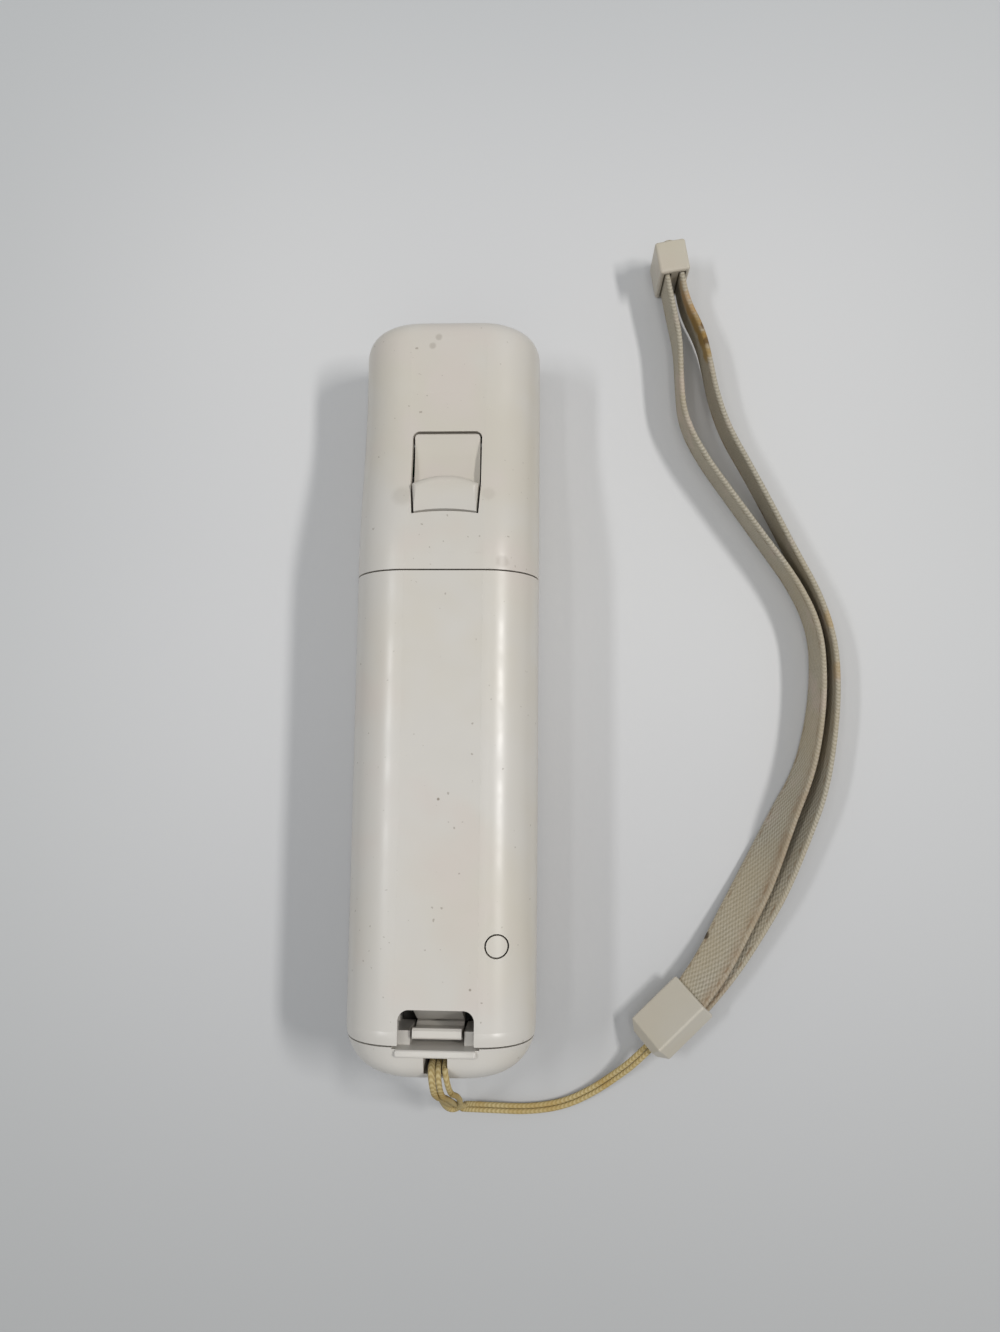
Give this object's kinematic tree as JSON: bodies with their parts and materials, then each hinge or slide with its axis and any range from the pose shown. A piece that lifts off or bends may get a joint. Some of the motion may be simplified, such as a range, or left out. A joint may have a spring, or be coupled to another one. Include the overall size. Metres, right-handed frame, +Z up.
{
  "type": "game controller",
  "caption": "Hand-held motion game controller lying on its keys, with rocking trigger, hinged battery cover, cells, boards, rumble motor and a wrist strap with sliding keeper.",
  "frame": {"origin": "on the surface the controller lies on, under the middle of its housing", "axes": "+X across the controller, towards the side where the strap lies; +Y towards the sensor end; +Z up, out of its back"},
  "size_m": [0.0989, 0.1865, 0.0313],
  "materials": {
    "shell_white": "satin, aged",
    "trigger_white": "satin",
    "key_clear_grey": "gloss",
    "key_white": "gloss",
    "key_red": "gloss",
    "window_dark": "gloss",
    "lens_glass": "polished",
    "clear_plastic": "gloss",
    "board_green": "solder mask",
    "chip_black": "matt",
    "socket_grey": "matt",
    "dome_rubber": "matt",
    "tin_steel": "satin",
    "gold_contact": "polished",
    "spring_steel": "satin",
    "cell_sleeve": "gloss",
    "speaker_black": "matt",
    "string_yellowed": "braided",
    "webbing_offwhite": "woven",
    "strap_plastic": "satin"
  },
  "bodies": {
    "housing": {"front_housing": "shell_white", "rear_housing": "shell_white", "sync_switch": "chip_black", "trigger_pin": "tin_steel", "trigger_board": "board_green", "trigger_dome": "dome_rubber", "key_domes": "dome_rubber", "main_board": "board_green", "board_chips": "chip_black", "radio_module": "tin_steel", "camera_module": "chip_black", "camera_lens": "lens_glass", "sensor_window": "window_dark", "speaker": "speaker_black", "light_guide": "clear_plastic", "indicator_lights": "clear_plastic", "battery_left": "cell_sleeve", "battery_right": "cell_sleeve", "battery_contacts": "tin_steel", "battery_springs": "spring_steel", "rumble_motor": "tin_steel", "extension_socket": "socket_grey", "socket_contacts": "gold_contact", "case_screws": "tin_steel", "strap_string": "string_yellowed", "strap_block": "strap_plastic", "strap_webbing_inner": "webbing_offwhite", "strap_webbing_outer": "webbing_offwhite"},
    "a_button": {"a_button": "key_clear_grey"},
    "minus_button": {"minus_button": "key_clear_grey"},
    "home_button": {"home_button": "key_clear_grey"},
    "plus_button": {"plus_button": "key_clear_grey"},
    "power_button": {"power_button": "key_red"},
    "one_button": {"one_button": "key_clear_grey"},
    "two_button": {"two_button": "key_clear_grey"},
    "battery_cover": {"battery_cover": "shell_white"},
    "cover_latch": {"cover_latch": "shell_white"},
    "sync_cap": {"sync_cap": "shell_white"},
    "sync_button": {"sync_button": "key_white"},
    "trigger": {"trigger": "trigger_white"},
    "direction_dome": {"direction_dome": "dome_rubber"},
    "direction_pad": {"direction_pad": "key_white"},
    "rumble_weight": {"rumble_weight": "tin_steel"},
    "strap_slider": {"strap_slider": "strap_plastic"}
  },
  "joints": [
    {"name": "battery_cover_hinge", "type": "hinge", "parent": "housing", "child": "battery_cover", "pos_m": [0, 0.0207, 0.0308], "axis": [-1, 0, 0], "range_deg": [0, 50]},
    {"name": "cover_latch_flex", "type": "hinge", "parent": "battery_cover", "child": "cover_latch", "pos_m": [0, -0.0654, 0.0204], "axis": [-1, 0, 0], "range_deg": [0, 8], "stiffness_Nm_per_rad": 0.17},
    {"name": "sync_cap_press", "type": "slide", "parent": "battery_cover", "child": "sync_cap", "axis": [0, 0, -1], "range_m": [0, 0.0006], "stiffness_N_per_m": 2000},
    {"name": "sync_button_press", "type": "slide", "parent": "housing", "child": "sync_button", "axis": [0, 0, -1], "range_m": [0, 0.0006], "stiffness_N_per_m": 2000},
    {"name": "trigger_rock", "type": "hinge", "parent": "housing", "child": "trigger", "pos_m": [0, 0.0476, 0.0236], "axis": [1, 0, 0], "range_deg": [0, 5], "stiffness_Nm_per_rad": 0.2},
    {"name": "direction_pad_pitch", "type": "hinge", "parent": "housing", "child": "direction_dome", "pos_m": [0, 0.051, 0.0035], "axis": [1, 0, 0], "range_deg": [-2.2, 2.2], "stiffness_Nm_per_rad": 0.24},
    {"name": "direction_pad_roll", "type": "hinge", "parent": "direction_dome", "child": "direction_pad", "pos_m": [0, 0.051, 0.0035], "axis": [0, 1, 0], "range_deg": [-2.2, 2.2], "stiffness_Nm_per_rad": 0.24},
    {"name": "a_button_press", "type": "slide", "parent": "housing", "child": "a_button", "axis": [0, 0, 1], "range_m": [0, 0.0006], "stiffness_N_per_m": 2000},
    {"name": "minus_button_press", "type": "slide", "parent": "housing", "child": "minus_button", "axis": [0, 0, 1], "range_m": [0, 0.0006], "stiffness_N_per_m": 2000},
    {"name": "home_button_press", "type": "slide", "parent": "housing", "child": "home_button", "axis": [0, 0, 1], "range_m": [0, 0.0006], "stiffness_N_per_m": 2000},
    {"name": "plus_button_press", "type": "slide", "parent": "housing", "child": "plus_button", "axis": [0, 0, 1], "range_m": [0, 0.0006], "stiffness_N_per_m": 2000},
    {"name": "power_button_press", "type": "slide", "parent": "housing", "child": "power_button", "axis": [0, 0, 1], "range_m": [0, 0.0006], "stiffness_N_per_m": 2000},
    {"name": "one_button_press", "type": "slide", "parent": "housing", "child": "one_button", "axis": [0, 0, 1], "range_m": [0, 0.0006], "stiffness_N_per_m": 2000},
    {"name": "two_button_press", "type": "slide", "parent": "housing", "child": "two_button", "axis": [0, 0, 1], "range_m": [0, 0.0006], "stiffness_N_per_m": 2000},
    {"name": "rumble_spin", "type": "hinge", "parent": "housing", "child": "rumble_weight", "pos_m": [0, 0.027, 0.0126], "axis": [0, 1, 0], "continuous": true},
    {"name": "strap_slider_slide", "type": "slide", "parent": "housing", "child": "strap_slider", "axis": [0.1702, -0.9854, 0], "range_m": [0, 0.002]}
  ],
  "couplings": [
    {"joint": "sync_button_press", "follows": "sync_cap_press", "ratio": 1}
  ]
}
